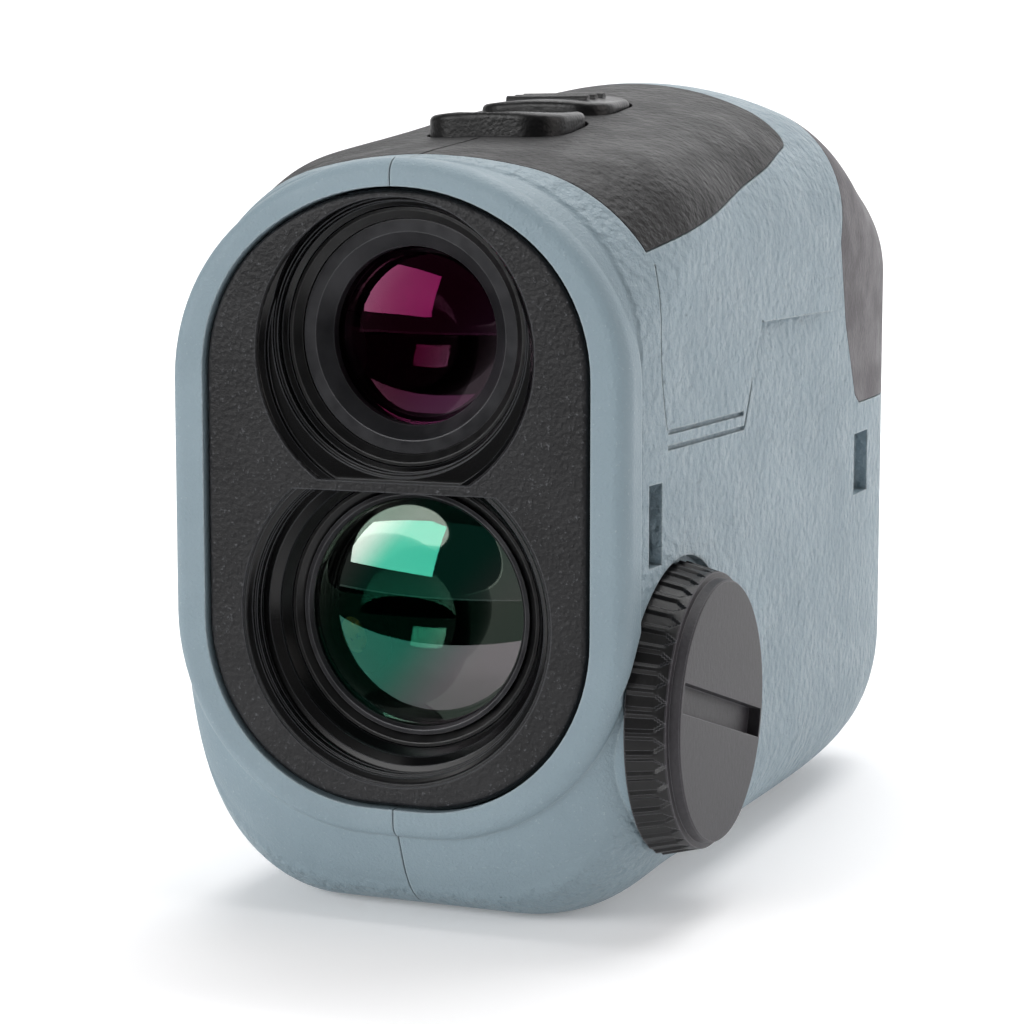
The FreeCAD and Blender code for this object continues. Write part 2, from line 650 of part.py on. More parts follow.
def cap_notches():
    """Grip notches cut along the cone, each ending in a point towards the face."""
    half = 0.62
    low = CAP_SKIRT_X - 1
    shoulder = CAP_COLLAR_X - 0.9
    tip = CAP_COLLAR_X - 0.1
    outline = [(low, -half), (shoulder, -half), (tip, 0), (shoulder, half), (low, half)]
    points = [V(x, width, CAP_R + 1) for x, width in outline]
    pattern = Part.Face(Part.makePolygon(points + points[:1])).extrude(V(0, 0, -2))
    lean = math.degrees(math.atan2(CAP_R - CAP_RIM_R, CAP_COLLAR_X - CAP_SKIRT_X))
    pattern.translate(V(0, 0, -0.55))
    pattern.rotate(V(CAP_SKIRT_X, 0, CAP_R), V(0, 1, 0), lean)
    notches = []
    for count in range(CAP_RIBS):
        notch = pattern.copy()
        notch.rotate(V(0, 0, 0), V(1, 0, 0), count * 360 / CAP_RIBS)
        notch.translate(at(0, CAP_DEPTH, CAP_Z))
        notches.append(notch)
    return notches


def cap_seal():
    """O-ring in the plug's groove."""
    middle = SEAL_FRONT_X + SEAL_R
    ring = Part.makeTorus(PLUG_R - SEAL_R + 0.02, SEAL_R - 0.03, at(middle, CAP_DEPTH, CAP_Z), V(1, 0, 0))
    return ring.cut(rod_x(PLUG_R - 0.65, middle - 2, middle + 2, CAP_DEPTH, CAP_Z))


def battery_cup():
    """Insulating cup pressed into the housing boss."""
    cup = rod_x(CUP_R, CUP_INNER_X, CUP_OUTER_X, CAP_DEPTH, CAP_Z)
    return cup.cut(rod_x(CELL_R + 0.3, CUP_INNER_X + 0.6, CUP_OUTER_X + 1, CAP_DEPTH, CAP_Z))


def coin_cells():
    """Two stacked cells, each with a stepped negative side."""
    cells = []
    for count in range(2):
        inner = CELL_INNER_X + count * CELL_THICK
        cell = rod_x(CELL_R, inner + 0.5, inner + CELL_THICK - 0.02, CAP_DEPTH, CAP_Z)
        step = rod_x(CELL_R - 0.8, inner, inner + 0.6, CAP_DEPTH, CAP_Z)
        cells.append(cell.fuse(step))
    return Part.makeCompound(cells)


def contact_spring():
    """Leaf contact under the inner cell."""
    return block(CUP_INNER_X + 0.6, CELL_INNER_X, CAP_DEPTH - 4, CAP_DEPTH + 4, CAP_Z - 1.5, CAP_Z + 1.5)


def cap_contact():
    """Plate in the cap that touches the outer cell."""
    outer_cell_x = CELL_INNER_X + 2 * CELL_THICK
    plate = rod_x(PLUG_BORE - 0.4, CAP_BACK_X - 0.5, CAP_BACK_X, CAP_DEPTH, CAP_Z)
    bump = rod_x(2.2, outer_cell_x + 0.3, CAP_BACK_X - 0.4, CAP_DEPTH, CAP_Z)
    return plate.fuse(bump)


# ---------------------------------------------------------------- works inside
def prism_block():
    """Roof prism that turns the image upright, between the objective and the eyepiece."""
    outline = [(42.0, 44.4), (62.0, 44.4), (62.0, 52.0), (55.0, 61.5), (42.0, 61.5)]
    return side_prism(outline, -8.0, 8.0)


def prism_holder():
    """Open tray behind the upper barrel: front wall, floor, side walls."""
    floor = block(-10.0, 10.0, 40.6, 71.2, 42.6, 44.4)
    walls = [block(-10.0, -8.2, 40.6, 63.4, 44.4, 58.0), block(8.2, 10.0, 40.6, 63.4, 44.4, 58.0)]
    front = block(-10.0, 10.0, 40.6, 41.8, 42.6, 62.0).cut(rod_y(6.0, 40, 43, UPPER_Z))
    return floor.fuse(walls + [front])


def display_panel():
    return block(-8.5, 8.5, 69.6, 71.0, 44.4, 60.0)


def laser_module():
    """Laser diode can with its flange and three legs, beside the prism."""
    x = 14.4
    z = 50.0
    can = rod_y(2.8, 41.6, 46.0, z, x)
    flange = rod_y(4.4, 46.0, 47.2, z, x)
    legs = [rod_y(0.25, 47.2, 52.0, z + dz, x + dx) for dx, dz in ((-1.2, 0), (1.2, 0), (0, 1.2))]
    return can.fuse([flange] + legs)


def receiver_sensor():
    """Photodiode can behind the lower lens."""
    can = rod_y(4.1, 44.0, 46.8, LOWER_Z)
    flange = rod_y(4.6, 46.8, 47.8, LOWER_Z)
    return can.fuse(flange)


def receiver_board():
    return block(-13.0, 13.0, 47.8, 49.2, 15.0, 40.0)


def main_board():
    """Main circuit board standing against the left wall, with its larger chips."""
    board = block(BOARD_X, -16.4, 28.0, 74.0, 16.0, 41.0)
    chips = [block(-16.4, -15.0, 52.0, 62.0, 22.0, 32.0), block(-16.4, -15.2, 34.0, 40.0, 20.0, 26.0),
             block(-16.4, -14.6, 64.0, 70.0, 30.0, 36.0)]
    return board.fuse(chips)


def board_top():
    """The board hangs just low enough for the shorter switch, under the front key."""
    return stem_foot(FIRE_TOP) - KEY_TRAVEL - SWITCH_GAP - SWITCH_HEIGHT


def key_board():
    """Small board under the keys, hung from the cover."""
    return block(-6.0, 6.0, FIRE[0] - 3.0, MODE[0] + 4.0, board_top() - BOARD, board_top())


def tact_switches():
    """One switch under each key, as separate solids."""
    switches = []
    for spec, tops in ((FIRE, FIRE_TOP), (MODE, MODE_TOP)):
        top = stem_foot(tops) - KEY_TRAVEL - SWITCH_GAP
        can = block(-2.2, 2.2, spec[0] - 2.2, spec[0] + 2.2, board_top(), top - 0.4)
        switches.append(can.fuse(rod_z(1.2, top - 0.5, top, 0, spec[0])))
    return Part.makeCompound(switches)


def housing_screws():
    screws = []
    for depth, z in SCREWS:
        head = rod_x(SCREW_HEAD_R, SCREW_HEAD_X - 1.4, SCREW_HEAD_X, depth, z)
        head = head.makeFillet(0.35, [e for e in head.Edges if abs(e.BoundBox.XMax - SCREW_HEAD_X + 1.4) < 1e-4])
        cross = [block(SCREW_HEAD_X - 2, SCREW_HEAD_X - 0.7, depth - 1.2, depth + 1.2, z - 0.22, z + 0.22),
                 block(SCREW_HEAD_X - 2, SCREW_HEAD_X - 0.7, depth - 0.22, depth + 0.22, z - 1.2, z + 1.2)]
        shank = rod_x(SCREW_R, SCREW_HEAD_X, SCREW_TIP_X, depth, z)
        screws.append(head.fuse(shank).cut(cross))
    return Part.makeCompound(screws)


# ---------------------------------------------------------------- write every node
right_housing, left_housing = housings()
pieces = {
    "right_housing": right_housing,
    "left_housing": left_housing,
    "front_bezel": front_bezel(),
    "upper_lens_barrel": lens_barrel(UPPER_Z, UPPER_BARREL, UPPER_GLASS, UPPER_RETAINER),
    "lower_lens_barrel": lens_barrel(LOWER_Z, LOWER_BARREL, LOWER_GLASS, LOWER_RETAINER),
    "upper_retaining_ring": retaining_ring(UPPER_Z, UPPER_GLASS, UPPER_RETAINER),
    "lower_retaining_ring": retaining_ring(LOWER_Z, LOWER_GLASS, LOWER_RETAINER),
    "upper_objective_lens": lens(UPPER_Z, UPPER_GLASS),
    "lower_objective_lens": lens(LOWER_Z, LOWER_GLASS),
    "top_cover": top_cover(),
    "fire_button": fire_button(),
    "mode_button": mode_button(),
    "tact_switches": tact_switches(),
    "key_board": key_board(),
    "main_board": main_board(),
    "laser_module": laser_module(),
    "receiver_sensor": receiver_sensor(),
    "receiver_board": receiver_board(),
    "prism_block": prism_block(),
    "prism_holder": prism_holder(),
    "display_panel": display_panel(),
    "rear_cover": rear_cover(),
    "eyepiece_tube": eyepiece_tube(),
    "diopter_ring": diopter_ring(),
    "eyecup": eyecup(),
    "eye_lens_cell": eye_lens_cell(),
    "eye_lens": eye_lens(),
    "focus_pin": focus_pin(),
    "battery_cap": battery_cap(),
    "cap_seal": cap_seal(),
    "cap_contact": cap_contact(),
    "battery_cup": battery_cup(),
    "coin_cells": coin_cells(),
    "contact_spring": contact_spring(),
    "housing_screws": housing_screws(),
}
for name, shape in pieces.items():
    save(name, shape)
    box = shape.optimalBoundingBox(False)
    print(f"{name:22s} valid={shape.isValid()} solids={len(shape.Solids)} volume={shape.Volume:9.1f} "
          f"x {box.XMin:6.1f} {box.XMax:6.1f}  y {box.YMin:6.1f} {box.YMax:6.1f}  z {box.ZMin:6.1f} {box.ZMax:6.1f}")
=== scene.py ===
import json
import math

import bmesh
import bpy
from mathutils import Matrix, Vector


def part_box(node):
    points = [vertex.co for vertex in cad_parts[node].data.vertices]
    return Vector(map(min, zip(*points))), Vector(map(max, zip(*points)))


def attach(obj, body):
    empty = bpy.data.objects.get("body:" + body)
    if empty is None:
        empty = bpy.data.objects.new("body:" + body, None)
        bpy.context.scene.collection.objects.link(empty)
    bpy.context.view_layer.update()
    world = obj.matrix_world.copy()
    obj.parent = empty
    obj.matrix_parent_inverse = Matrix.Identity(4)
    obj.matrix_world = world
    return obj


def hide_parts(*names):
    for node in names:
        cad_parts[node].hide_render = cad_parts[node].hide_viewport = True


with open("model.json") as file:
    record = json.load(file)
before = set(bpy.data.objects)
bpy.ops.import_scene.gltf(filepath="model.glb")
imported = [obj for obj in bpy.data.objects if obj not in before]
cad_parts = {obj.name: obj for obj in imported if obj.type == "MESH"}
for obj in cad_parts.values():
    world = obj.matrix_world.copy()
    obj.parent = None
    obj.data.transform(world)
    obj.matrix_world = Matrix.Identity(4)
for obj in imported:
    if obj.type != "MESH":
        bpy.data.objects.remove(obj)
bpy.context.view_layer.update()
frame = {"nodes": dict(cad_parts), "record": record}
nodes = frame["nodes"]
scene = bpy.context.scene

MM = 0.001
FRONT_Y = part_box("left_housing")[0].y        # plane of the front rim
RIM_END = 3.3 * MM                           # behind the front plane: where the paint's grain starts
RIM_BLEND = 4.4 * MM                         # and where it is at full depth
FACE_END = 0.32 * MM                         # behind the front plane: where the lens wells turn smooth
WELL_START = 0.55 * MM
PAINT = (124, 142, 151)
PAINT_SPECK = (178, 190, 196)
# colour of the leather pits: painted shade in their recesses
PAINT_PIT_SHADE = (66, 78, 86)
PAINT_EDGE = (186, 198, 203)


# ---------------------------------------------------------------- material tools
class Graph:
    """A material's node tree with short helpers."""

    def __init__(self, name):
        self.material = bpy.data.materials.new(name)
        self.material.use_nodes = True
        self.tree = self.material.node_tree
        self.tree.nodes.clear()
        self.shader = self.node("ShaderNodeBsdfPrincipled")
        output = self.node("ShaderNodeOutputMaterial")
        self.link(self.shader.outputs[0], output.inputs[0])
        self.place = self.node("ShaderNodeTexCoord").outputs["Object"]

    def node(self, kind, **settings):
        made = self.tree.nodes.new(kind)
        for key, value in settings.items():
            setattr(made, key, value)
        return made

    def link(self, source, target):
        self.tree.links.new(source, target)

    def put(self, target, value):
        if isinstance(value, bpy.types.NodeSocket):
            self.link(value, target)
        else:
            target.default_value = value

    def math(self, kind, a, b=0.0, clamp=False):
        made = self.node("ShaderNodeMath", operation=kind, use_clamp=clamp)
        self.put(made.inputs[0], a)
        self.put(made.inputs[1], b)
        return made.outputs[0]

    def noise(self, size, detail=3.0, rough=0.55, stretch=None):
        """Noise whose lumps are about size metres across, from 0 to 1."""
        made = self.node("ShaderNodeTexNoise")
        made.inputs["Scale"].default_value = 1.0 / size
        made.inputs["Detail"].default_value = detail
        made.inputs["Roughness"].default_value = rough
        self.link(self.stretched(stretch), made.inputs["Vector"])
        return made.outputs["Fac"]

    def stretched(self, stretch):
        if not stretch:
            return self.place
        made = self.node("ShaderNodeMapping")
        made.inputs["Scale"].default_value = stretch
        self.link(self.place, made.inputs["Vector"])
        return made.outputs[0]

    def cells(self, size):
        """Rounded cells about size metres across; the value falls towards each cell's middle."""
        warp = self.node("ShaderNodeTexNoise")
        warp.inputs["Scale"].default_value = 0.6 / size
        self.link(self.place, warp.inputs["Vector"])
        mixed = self.node("ShaderNodeMix", data_type="VECTOR")
        mixed.inputs["Factor"].default_value = 0.5 * size
        self.link(self.place, mixed.inputs[4])
        self.link(warp.outputs["Color"], mixed.inputs[5])
        made = self.node("ShaderNodeTexVoronoi", feature="SMOOTH_F1")
        made.inputs["Scale"].default_value = 1.0 / size
        self.link(mixed.outputs[1], made.inputs["Vector"])
        return made.outputs["Distance"]

    def ramp(self, value, low, high, start=0.0, end=1.0, smooth=True):
        made = self.node("ShaderNodeMapRange")
        made.interpolation_type = "SMOOTHSTEP" if smooth else "LINEAR"
        self.link(value, made.inputs[0])
        for index, number in enumerate((low, high, start, end), 1):
            self.put(made.inputs[index], number)
        return made.outputs[0]

    def blend(self, factor, a, b):
        made = self.node("ShaderNodeMix", data_type="RGBA")
        self.put(made.inputs[0], factor)
        for socket, colour in ((made.inputs[6], a), (made.inputs[7], b)):
            self.put(socket, colour if isinstance(colour, bpy.types.NodeSocket) else rgba(colour))
        return made.outputs[2]

    def axis(self, letter):
        split = self.node("ShaderNodeSeparateXYZ")
        self.link(self.place, split.inputs[0])
        return split.outputs[letter]

    def edges(self, radius, gain=6.0):
        """How close the surface is to a sharp edge, from 0 to 1, and the rounded normal."""
        rounded = self.node("ShaderNodeBevel", samples=4)
        rounded.inputs["Radius"].default_value = radius
        true = self.node("ShaderNodeNewGeometry").outputs["Normal"]
        dot = self.node("ShaderNodeVectorMath", operation="DOT_PRODUCT")
        self.link(rounded.outputs[0], dot.inputs[0])
        self.link(true, dot.inputs[1])
        turn = self.math("SUBTRACT", 1.0, dot.outputs["Value"])
        return self.math("MULTIPLY", turn, gain, clamp=True), rounded.outputs[0]

    def bump(self, height, depth, strength, normal):
        made = self.node("ShaderNodeBump")
        made.inputs["Distance"].default_value = depth
        made.inputs["Strength"].default_value = strength
        self.link(height, made.inputs["Height"])
        self.link(normal, made.inputs["Normal"])
        return made.outputs[0]

    def patches(self, size, first, second, low=0.3, high=0.7, detail=4.0):
        """Two display colours in soft patches about size metres across."""
        return self.blend(self.ramp(self.noise(size, detail), low, high), srgb(*first), srgb(*second))

    def finish(self, colour, rough, normal=None, **values):
        plain = not isinstance(colour, bpy.types.NodeSocket)
        self.put(self.shader.inputs["Base Color"], rgba(colour) if plain else colour)
        self.put(self.shader.inputs["Roughness"], rough)
        if normal:
            self.link(normal, self.shader.inputs["Normal"])
        for key, value in values.items():
            self.shader.inputs[key.replace("_", " ")].default_value = value
        return self.material


def rgba(colour):
    return tuple(colour) + (1.0,) if len(colour) == 3 else tuple(colour)


def srgb(red, green, blue):
    """Linear colour from display values 0 to 255."""
    shares = (red / 255, green / 255, blue / 255)
    return tuple(((c + 0.055) / 1.055) ** 2.4 if c > 10 / 255 else c / 12.92 for c in shares)


def lighter(colour, step):
    return tuple(min(c + step, 255) for c in colour)


# ---------------------------------------------------------------- materials
def painted_body():
    """Soft-touch grey-blue paint: fine sand on the front rim, leather grained behind it."""
    g = Graph("body_shell")
    wear, rounded = g.edges(0.3 * MM)
    depth = g.math("SUBTRACT", g.axis("Y"), FRONT_Y)
    grained = g.ramp(depth, RIM_END, RIM_BLEND)
    sand = g.noise(0.3 * MM, 3.0, 0.65)
    folds = g.noise(1.1 * MM, 3.0, 0.6, (1.0, 0.6, 1.0))
    leather = g.math("ADD", g.math("MULTIPLY", g.cells(1.0 * MM), 0.7), folds)
    pits = g.math("MULTIPLY", g.ramp(g.noise(0.75 * MM, 5.0, 0.75), 0.66, 0.74), grained)
    height = g.math("ADD", g.math("MULTIPLY", leather, grained), g.math("MULTIPLY", sand, 0.22))
    height = g.math("SUBTRACT", height, g.math("MULTIPLY", pits, 0.5))
    colour = g.patches(14 * MM, PAINT, lighter(PAINT, 7), detail=3.0)
    specks = g.ramp(sand, 0.62, 0.72)
    colour = g.blend(g.math("MULTIPLY", specks, 0.3), colour, srgb(*PAINT_SPECK))
    # painted shade: the colour is darkened in the leather pits, as if shade lay in them
    colour = g.blend(g.math("MULTIPLY", pits, 0.5), colour, srgb(*PAINT_PIT_SHADE))
    colour = g.blend(g.math("MULTIPLY", wear, 0.5), colour, srgb(*PAINT_EDGE))
    rough = g.ramp(g.noise(5 * MM, 4.0), 0.3, 0.7, 0.44, 0.56)
    return g.finish(colour, rough, g.bump(height, 0.5 * MM, 1.0, rounded), Specular_IOR_Level=0.5)


def bezel_black():
    """Sand-grained black face with pale specks, and smooth glossier black inside the lens wells."""
    g = Graph("bezel_black")
    wear, rounded = g.edges(0.2 * MM, 8.0)
    depth = g.math("SUBTRACT", g.axis("Y"), FRONT_Y)
    inside = g.ramp(depth, FACE_END, WELL_START)
    sand = g.noise(0.34 * MM, 3.0, 0.65)
    cells = g.cells(0.42 * MM)
    height = g.math("ADD", sand, g.math("MULTIPLY", cells, 0.7))
    height = g.math("MULTIPLY", height, g.math("SUBTRACT", 1.0, inside))
    colour = g.patches(6 * MM, (24, 24, 26), (31, 31, 33), 0.35)
    colour = g.blend(g.math("MULTIPLY", g.ramp(sand, 0.6, 0.72), 0.5), colour, srgb(96, 98, 102))
    colour = g.blend(inside, colour, srgb(5, 5, 6))
    colour = g.blend(g.math("MULTIPLY", wear, 0.7), colour, srgb(92, 94, 98))
    rough = g.ramp(inside, 0.0, 1.0, 0.5, 0.24, False)
    return g.finish(colour, rough, g.bump(height, 0.1 * MM, 1.0, rounded), Specular_IOR_Level=0.35)


def cap_plastic():
    """Near-black ribs and skirt, and a brushed dark grey face."""
    g = Graph("cap_plastic")
    wear, rounded = g.edges(0.12 * MM, 8.0)
    face = g.ramp(g.axis("X"), 24.9 * MM, 25.0 * MM)
    brushed = g.noise(0.35 * MM, 4.0, 0.7, (1.0, 1.0, 0.5))
    spots = g.noise(0.8 * MM, 5.0, 0.75)
    grey = g.blend(g.ramp(brushed, 0.3, 0.7), srgb(38, 36, 40), srgb(48, 46, 50))
    grey = g.blend(g.math("MULTIPLY", g.ramp(spots, 0.6, 0.72), 0.5), grey, srgb(26, 25, 28))
    colour = g.blend(face, srgb(8, 8, 9), grey)
    colour = g.blend(g.math("MULTIPLY", wear, 0.6), colour, srgb(120, 119, 124))
    rough = g.ramp(face, 0.0, 1.0, 0.38, 0.5, False)
    relief = g.bump(g.math("ADD", brushed, spots), 0.03 * MM, 0.8, rounded)
    return g.finish(colour, rough, relief, Specular_IOR_Level=0.4)


def grained_black(name, shade, cell, depth, rough_low, rough_high, edge=0.4, edge_colour=(120, 122, 126)):
    """Dark moulded plastic or rubber with a fine grain and slightly burnished edges."""
    g = Graph(name)
    wear, rounded = g.edges(0.25 * MM)
    cells = g.cells(cell)
    fine = g.noise(cell * 0.4, 2.0)
    height = g.math("ADD", cells, g.math("MULTIPLY", fine, 0.6))
    pale = srgb(*lighter(shade, 12))
    colour = g.blend(g.ramp(g.noise(cell * 0.7, 3.0, 0.7), 0.45, 0.75), srgb(*shade), pale)
    colour = g.blend(g.math("MULTIPLY", g.ramp(g.noise(9 * MM, 3.0), 0.35, 0.75), 0.25), colour, pale)
    colour = g.blend(g.math("MULTIPLY", wear, edge), colour, srgb(*edge_colour))
    rough = g.ramp(g.noise(4 * MM, 4.0), 0.3, 0.7, rough_low, rough_high)
    return g.finish(colour, rough, g.bump(height, depth, 1.0, rounded), Specular_IOR_Level=0.35)


def turned_metal(name, shade, rough, metallic=1.0, axis="Y"):
    """Machined metal with fine turning lines along one axis."""
    g = Graph(name)
    wear, rounded = g.edges(0.15 * MM, 8.0)
    stretch = tuple(1.0 if letter == axis else 0.06 for letter in "XYZ")
    lines = g.noise(0.12 * MM, 2.0, 0.6, stretch)
    colour = g.patches(3 * MM, shade, lighter(shade, 10), detail=3.0)
    bright = tuple(min(c, 250) for c in lighter(shade, 110))
    colour = g.blend(g.math("MULTIPLY", wear, 0.5), colour, srgb(*bright))
    gloss = g.ramp(g.noise(1.5 * MM, 3.0), 0.3, 0.7, rough, rough + 0.12)
    return g.finish(colour, gloss, g.bump(lines, 0.012 * MM, 0.8, rounded), Metallic=metallic)


def coated_glass(name, node, reach, ior, body, corner, centre, margin):
    """Lens glass whose coating colours its reflections, shifting in hue from one corner to the other."""
    g = Graph(name)
    low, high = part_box(node)
    middle = (low + high) / 2
    across = g.math("SUBTRACT", g.axis("X"), middle.x)
    along = g.math("SUBTRACT", g.axis("Z"), middle.z)
    side = g.math("SUBTRACT", across, g.math("MULTIPLY", along, 0.8))
    hue = g.ramp(side, 0.1 * reach, 0.95 * reach)
    smear = g.ramp(g.noise(2.5 * MM, 4.0, 0.6, (1.0, 1.0, 0.35)), 0.45, 0.8, 0.01, 0.035)
    g.finish(body, smear, Transmission_Weight=1.0, IOR=ior)
    top = g.ramp(side, -1.05 * reach, -0.55 * reach)
    g.link(g.blend(hue, g.blend(top, corner, centre), margin), g.shader.inputs["Specular Tint"])
    return g.material


def plain_plastic(name, shade, rough=0.45):
    """Moulded plastic with a faint grain, for the works inside."""
    g = Graph(name)
    wear, rounded = g.edges(0.15 * MM)
    colour = g.patches(2 * MM, shade, lighter(shade, 14), 0.35)
    colour = g.blend(g.math("MULTIPLY", wear, 0.35), colour, srgb(*lighter(shade, 60)))
    gloss = g.ramp(g.noise(1.2 * MM, 3.0), 0.3, 0.7, rough, rough + 0.15)
    return g.finish(colour, gloss, g.bump(g.noise(0.5 * MM), 0.02 * MM, 0.7, rounded))


materials = {
    "body_shell": painted_body(),
    "bezel_black": bezel_black(),
    "cover_black": grained_black("cover_black", (7, 7, 9), 0.8 * MM, 0.2 * MM, 0.5, 0.62, 0.3, (62, 62, 66)),
    "key_black": grained_black("key_black", (8, 8, 9), 0.35 * MM, 0.03 * MM, 0.3, 0.45, 0.4, (90, 90, 94)),
    "rear_panel": grained_black("rear_panel", (66, 62, 66), 0.5 * MM, 0.05 * MM, 0.45, 0.6),
    "cap_plastic": cap_plastic(),
    "ring_plastic": grained_black("ring_plastic", (30, 30, 32), 0.3 * MM, 0.03 * MM, 0.4, 0.55),
    "eyecup_rubber": grained_black("eyecup_rubber", (22, 22, 23), 0.4 * MM, 0.05 * MM, 0.55, 0.7, 0.15),
    "seal_rubber": grained_black("seal_rubber", (16, 16, 16), 0.3 * MM, 0.01 * MM, 0.3, 0.4, 0.1),
    "barrel_black": turned_metal("barrel_black", (4, 4, 5), 0.3, 0.2),
    "ring_dark": turned_metal("ring_dark", (36, 36, 39), 0.3, 0.5),
    "sight_glass": coated_glass("sight_glass", "upper_objective_lens", 8.3 * MM, 1.75, (0.25, 0.18, 0.22),
                                (0.42, 0.05, 0.19), (0.36, 0.02, 0.14), (0.5, 0.12, 0.35)),
    "laser_glass": coated_glass("laser_glass", "lower_objective_lens", 10.7 * MM, 2.1, (0.22, 0.3, 0.24),
                                (0.85, 0.95, 0.85), (0.07, 0.62, 0.42), (0.85, 0.72, 0.8)),
    "eye_glass": coated_glass("eye_glass", "eye_lens", 8.6 * MM, 1.6, (0.9, 0.95, 0.9),
                              (0.4, 1.0, 0.7), (0.4, 1.0, 0.7), (0.7, 0.7, 1.0)),
    "prism_glass": plain_plastic("prism_glass", (150, 160, 156), 0.1),
    "display_glass": plain_plastic("display_glass", (40, 44, 42), 0.1),
    "contact_metal": turned_metal("contact_metal", (180, 176, 164), 0.3),
    "cell_steel": turned_metal("cell_steel", (176, 176, 178), 0.25, axis="X"),
    "can_metal": turned_metal("can_metal", (200, 168, 96), 0.25),
    "screw_steel": turned_metal("screw_steel", (52, 52, 54), 0.35, axis="X"),
    "inner_plastic": plain_plastic("inner_plastic", (30, 30, 31)),
    "switch_plastic": plain_plastic("switch_plastic", (30, 30, 30), 0.3),
    "circuit_board": plain_plastic("circuit_board", (18, 82, 48), 0.35),
}
slot_of = {entry["node"]: entry["material_slot"] for entry in frame["record"]["subparts"]}
for name, node in nodes.items():
    for slot in node.material_slots:
        slot.material = materials[slot_of[name]]


# ---------------------------------------------------------------- objective lenses
LENS_RINGS = 28
LENS_STEPS = 96
LENS_EDGE = 2.2 * MM         # thickness of the ground edge
LENS_SEAT = 0.9 * MM         # flat band round the back where the lens sits


def sag(sphere, r):
    return sphere - math.sqrt(sphere ** 2 - r ** 2)


def lens_outline(radius, front_sphere, back_sphere, front_y, edge_y, back_y):
    """Radius and y from the middle of the front, over the edge, to the middle of the back."""
    clear = radius - LENS_SEAT
    front = [radius * step / LENS_RINGS for step in range(LENS_RINGS + 1)]
    back = [clear * (LENS_RINGS - step) / LENS_RINGS for step in range(LENS_RINGS + 1)]
    outline = [(r, front_y + sag(front_sphere, r)) for r in front]
    outline.append((radius, edge_y))
    return outline + [(r, back_y - sag(back_sphere, r)) for r in back]


def objective(name, node, front_sphere, back_sphere, bulge):
    """Lathed glass about the node's Y axis: a convex front, a ground edge and a convex back."""
    low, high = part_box(node)
    middle_x, middle_z = (low.x + high.x) / 2, (low.z + high.z) / 2
    full = (high.x - low.x) / 2
    front_y = high.y - LENS_EDGE - sag(front_sphere, full)
    outline = lens_outline(full - 0.02 * MM, front_sphere, back_sphere, front_y, high.y, high.y + bulge)
    mesh = bpy.data.meshes.new(name)
    work = bmesh.new()
    chain = [work.verts.new((middle_x + r, y, middle_z)) for r, y in outline]
    edges = [work.edges.new(pair) for pair in zip(chain, chain[1:])]
    bmesh.ops.spin(work, geom=chain + edges, cent=(middle_x, 0, middle_z), axis=(0, 1, 0), dvec=(0, 0, 0),
                   angle=2 * math.pi, steps=LENS_STEPS, use_merge=True)
    bmesh.ops.remove_doubles(work, verts=work.verts, dist=1e-6)
    bmesh.ops.recalc_face_normals(work, faces=work.faces)
    work.to_mesh(mesh)
    work.free()
    mesh.shade_smooth()
    mesh.set_sharp_from_angle(angle=math.radians(25))
    lens = bpy.data.objects.new(name, mesh)
    scene.collection.objects.link(lens)
    mesh.materials.append(materials[slot_of[node]])
    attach(lens, "root")
    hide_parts(node)


objective("sight_lens", "upper_objective_lens", 19.0 * MM, 20.0 * MM, 1.3 * MM)
objective("laser_lens", "lower_objective_lens", 24.0 * MM, 24.0 * MM, 2.0 * MM)


# ---------------------------------------------------------------- battery cap
# Outlines as (radius, x) in mm: the plug and the inside of the skirt, then the collar and the face.
CAP_INSIDE = [(8.5, 22.6), (8.5, 17.6), (9.3, 17.6), (9.3, 19.2), (8.6, 19.2), (8.6, 20.7), (9.3, 20.7),
              (9.3, 22.6), (12.75, 22.6), (12.75, 21.5), (13.2, 21.5)]
CAP_FACE = [(12.46, 25.12), (11.96, 25.2), (11.82, 26.06), (11.7, 26.19), (11.3, 26.2), (6.0, 26.2)]
SKIRT_R, SKIRT_X = 13.4, 21.5
CONE_TAPER, CONE_LENGTH = 0.9, 3.6
CONE_FIRST, CONE_LAST, CONE_RINGS = 21.62, 25.05, 14
RIBS = 42
RIB_STEPS = 12               # points round each rib
RIB_CUT = 0.26
RIB_HALF = 0.36              # half the width of a cut, as a share of the pitch
RIB_TIP = 24.95              # x where the cuts come to a point
RIB_TIP_LENGTH = 0.9
RIB_FLANK = 0.06
SLOT_HALF = 1.35 * MM
SLOT_END = 11.4 * MM         # radius of the slot's ends, just inside the face's edge
SLOT_FLOOR, SLOT_OPEN = 25.0 * MM, 27.0 * MM
SLOT_TILT = math.radians(-16.0)


def rib_depth(x, turn):
    """How deep the grip is cut at height x on the cone; each cut narrows to a point near the collar."""
    width = RIB_HALF * min(1.0, max(0.0, (RIB_TIP - x) / RIB_TIP_LENGTH))
    offset = abs((turn * RIBS) % 1.0 - 0.5)
    return RIB_CUT * min(1.0, max(0.0, (width - offset) / RIB_FLANK))


def cap_profile(turn):
    """The cap's whole outline at one turn of the way round."""
    cone = []
    for step in range(CONE_RINGS + 1):
        x = CONE_FIRST + (CONE_LAST - CONE_FIRST) * step / CONE_RINGS
        smooth = SKIRT_R - CONE_TAPER * (x - SKIRT_X) / CONE_LENGTH
        cone.append((smooth - rib_depth(x, turn), x))
    return CAP_INSIDE + cone + CAP_FACE


